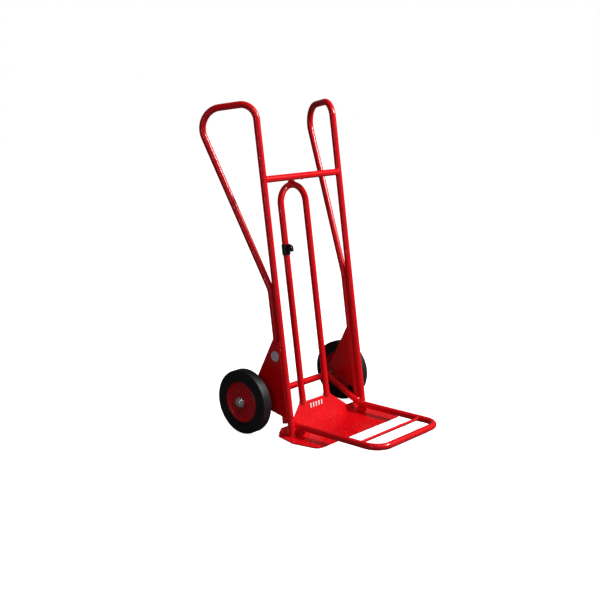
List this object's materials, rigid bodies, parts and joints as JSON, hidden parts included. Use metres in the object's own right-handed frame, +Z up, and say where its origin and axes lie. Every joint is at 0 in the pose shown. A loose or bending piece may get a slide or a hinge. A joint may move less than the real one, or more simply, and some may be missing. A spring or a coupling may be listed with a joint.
{
  "type": "hand truck",
  "caption": "Two-wheeled hand truck of bent tube, with outward-swept loop handles, a centre hoop, a fixed toe plate and a toe frame that folds up.",
  "frame": {"origin": "on the floor, on the underside of the fixed toe plate, midway between the feet of the two uprights", "axes": "+Z up, +X to the truck's right side along the axle, -Y towards the toe, +Y towards the wheels and handles"},
  "size_m": [0.64, 0.7521, 1.2154],
  "materials": {
    "red_paint": "gloss red powder coat on steel",
    "red_rim": "gloss red painted pressed steel",
    "zinc_steel": "bright zinc plate",
    "chrome_cap": "polished chrome",
    "silver_badge": "satin, blank",
    "pale_label": "plain printed film without lettering",
    "black_rubber": "plain solid rubber",
    "black_plastic": "moulded, slightly glossy"
  },
  "bodies": {
    "frame": {"left_side_tube": "red_paint", "left_wheel_bracket": "red_paint", "left_axle_spacer": "zinc_steel", "left_inner_washer": "zinc_steel", "left_outer_washer": "zinc_steel", "left_axle_cap": "chrome_cap", "left_badge": "silver_badge", "left_toe_rest": "red_paint", "right_side_tube": "red_paint", "right_wheel_bracket": "red_paint", "right_axle_spacer": "zinc_steel", "right_inner_washer": "zinc_steel", "right_outer_washer": "zinc_steel", "right_axle_cap": "chrome_cap", "right_badge": "silver_badge", "right_toe_rest": "red_paint", "top_crossbar": "red_paint", "centre_hoop": "red_paint", "hoop_strut": "red_paint", "fixed_toe_plate": "red_paint", "axle_rod": "zinc_steel", "tab_label": "pale_label"},
    "folding_toe": {"toe_tube": "red_paint", "toe_rod": "red_paint", "toe_pivot_sleeve": "red_paint"},
    "left_wheel": {"left_tyre": "black_rubber", "left_rim": "red_rim", "left_wheel_bearing": "zinc_steel"},
    "right_wheel": {"right_tyre": "black_rubber", "right_rim": "red_rim", "right_wheel_bearing": "zinc_steel"},
    "hook_clip": {"hook_clip": "black_plastic"}
  },
  "joints": [
    {"name": "toe_fold", "type": "hinge", "parent": "frame", "child": "folding_toe", "pos_m": [0, 0.173, 0.121], "axis": [-1, 0, 0], "range_deg": [0, 91]},
    {"name": "left_wheel_spin", "type": "hinge", "parent": "frame", "child": "left_wheel", "pos_m": [-0.27, 0.173, 0.121], "axis": [1, 0, 0], "continuous": true},
    {"name": "right_wheel_spin", "type": "hinge", "parent": "frame", "child": "right_wheel", "pos_m": [0.27, 0.173, 0.121], "axis": [1, 0, 0], "continuous": true},
    {"name": "clip_slide", "type": "slide", "parent": "frame", "child": "hook_clip", "axis": [0, 0.1318, 0.9913], "range_m": [-0.12, 0.12]}
  ]
}
